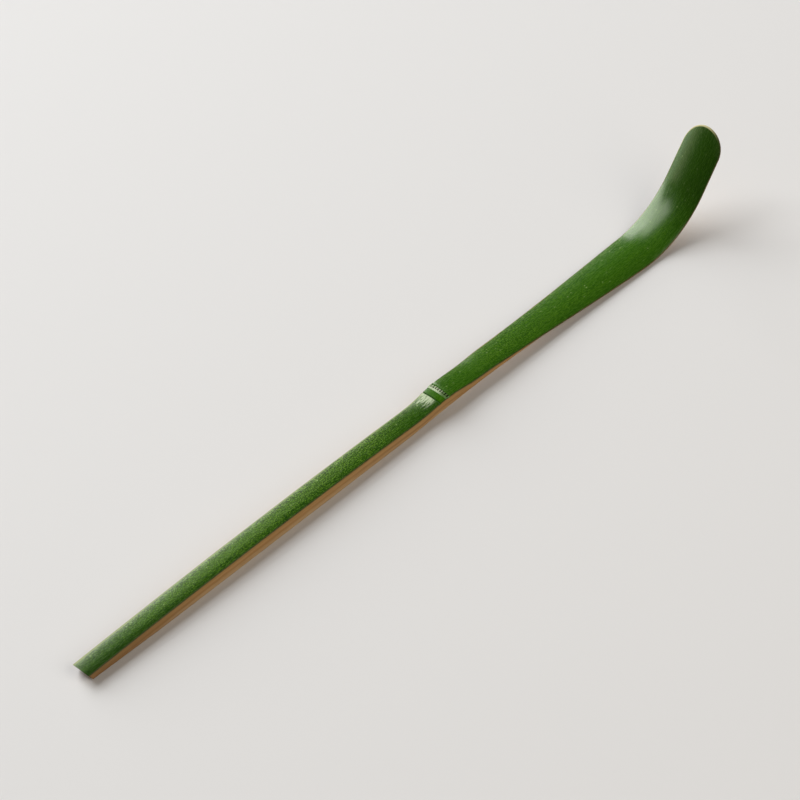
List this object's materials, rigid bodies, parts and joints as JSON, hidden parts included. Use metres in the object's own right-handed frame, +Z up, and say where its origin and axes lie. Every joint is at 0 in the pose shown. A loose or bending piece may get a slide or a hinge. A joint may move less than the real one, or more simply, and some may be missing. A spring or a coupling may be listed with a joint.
{
  "type": "tea scoop",
  "caption": "Slender tea scoop pared from one strip of green bamboo, with a swollen node along its length and a tip bent up into a small scoop for powdered tea.",
  "frame": {"origin": "middle of the flat underside that the handle rests on", "axes": "+X along the scoop to its tip, +Y to the left, +Z up out of the green skin"},
  "size_m": [0.1759, 0.0094, 0.0195],
  "materials": {
    "culm_wood": "knife-pared, dry",
    "green_skin": "waxy satin skin",
    "scar_tissue": "dry, fibrous"
  },
  "bodies": {
    "root": {"handle_wood": "culm_wood", "node_wood": "culm_wood", "blade_wood": "culm_wood", "handle_skin": "green_skin", "node_band": "green_skin", "blade_skin": "green_skin", "sheath_scar": "scar_tissue"}
  },
  "joints": []
}
